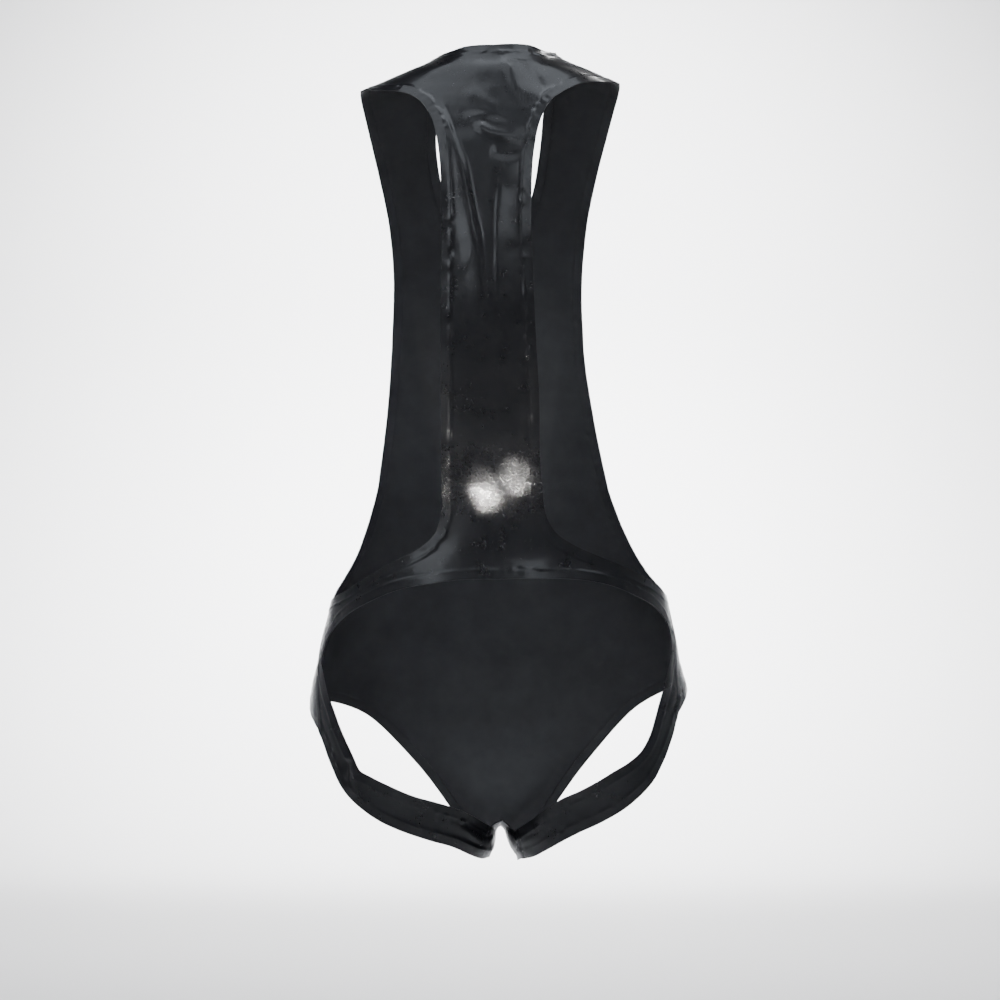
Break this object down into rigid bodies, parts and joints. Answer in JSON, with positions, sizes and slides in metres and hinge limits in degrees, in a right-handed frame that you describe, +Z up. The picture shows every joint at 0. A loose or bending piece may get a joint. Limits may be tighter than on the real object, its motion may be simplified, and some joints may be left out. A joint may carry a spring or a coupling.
{
  "type": "latex wrestling singlet",
  "caption": "Worn black latex singlet: plain scooped front, narrow back strip, hip belt and thigh straps round an open seat.",
  "frame": {"origin": "midway between the two shoulders that carry the singlet, on the line of the shoulder seams", "axes": "+Z up along the body, +Y to the wearer's back, +X to the wearer's left"},
  "size_m": [0.3641, 0.2413, 0.7802],
  "materials": {
    "latex": "gloss",
    "hem_tape": "satin"
  },
  "bodies": {
    "root": {"back_panel": "latex", "front_panel": "latex", "thigh_strap_left": "latex", "thigh_strap_right": "latex", "armhole_tape_left": "hem_tape", "armhole_tape_right": "hem_tape", "leg_tape_left": "hem_tape", "leg_tape_right": "hem_tape", "neck_tape": "hem_tape", "seat_tape": "hem_tape"}
  },
  "joints": []
}
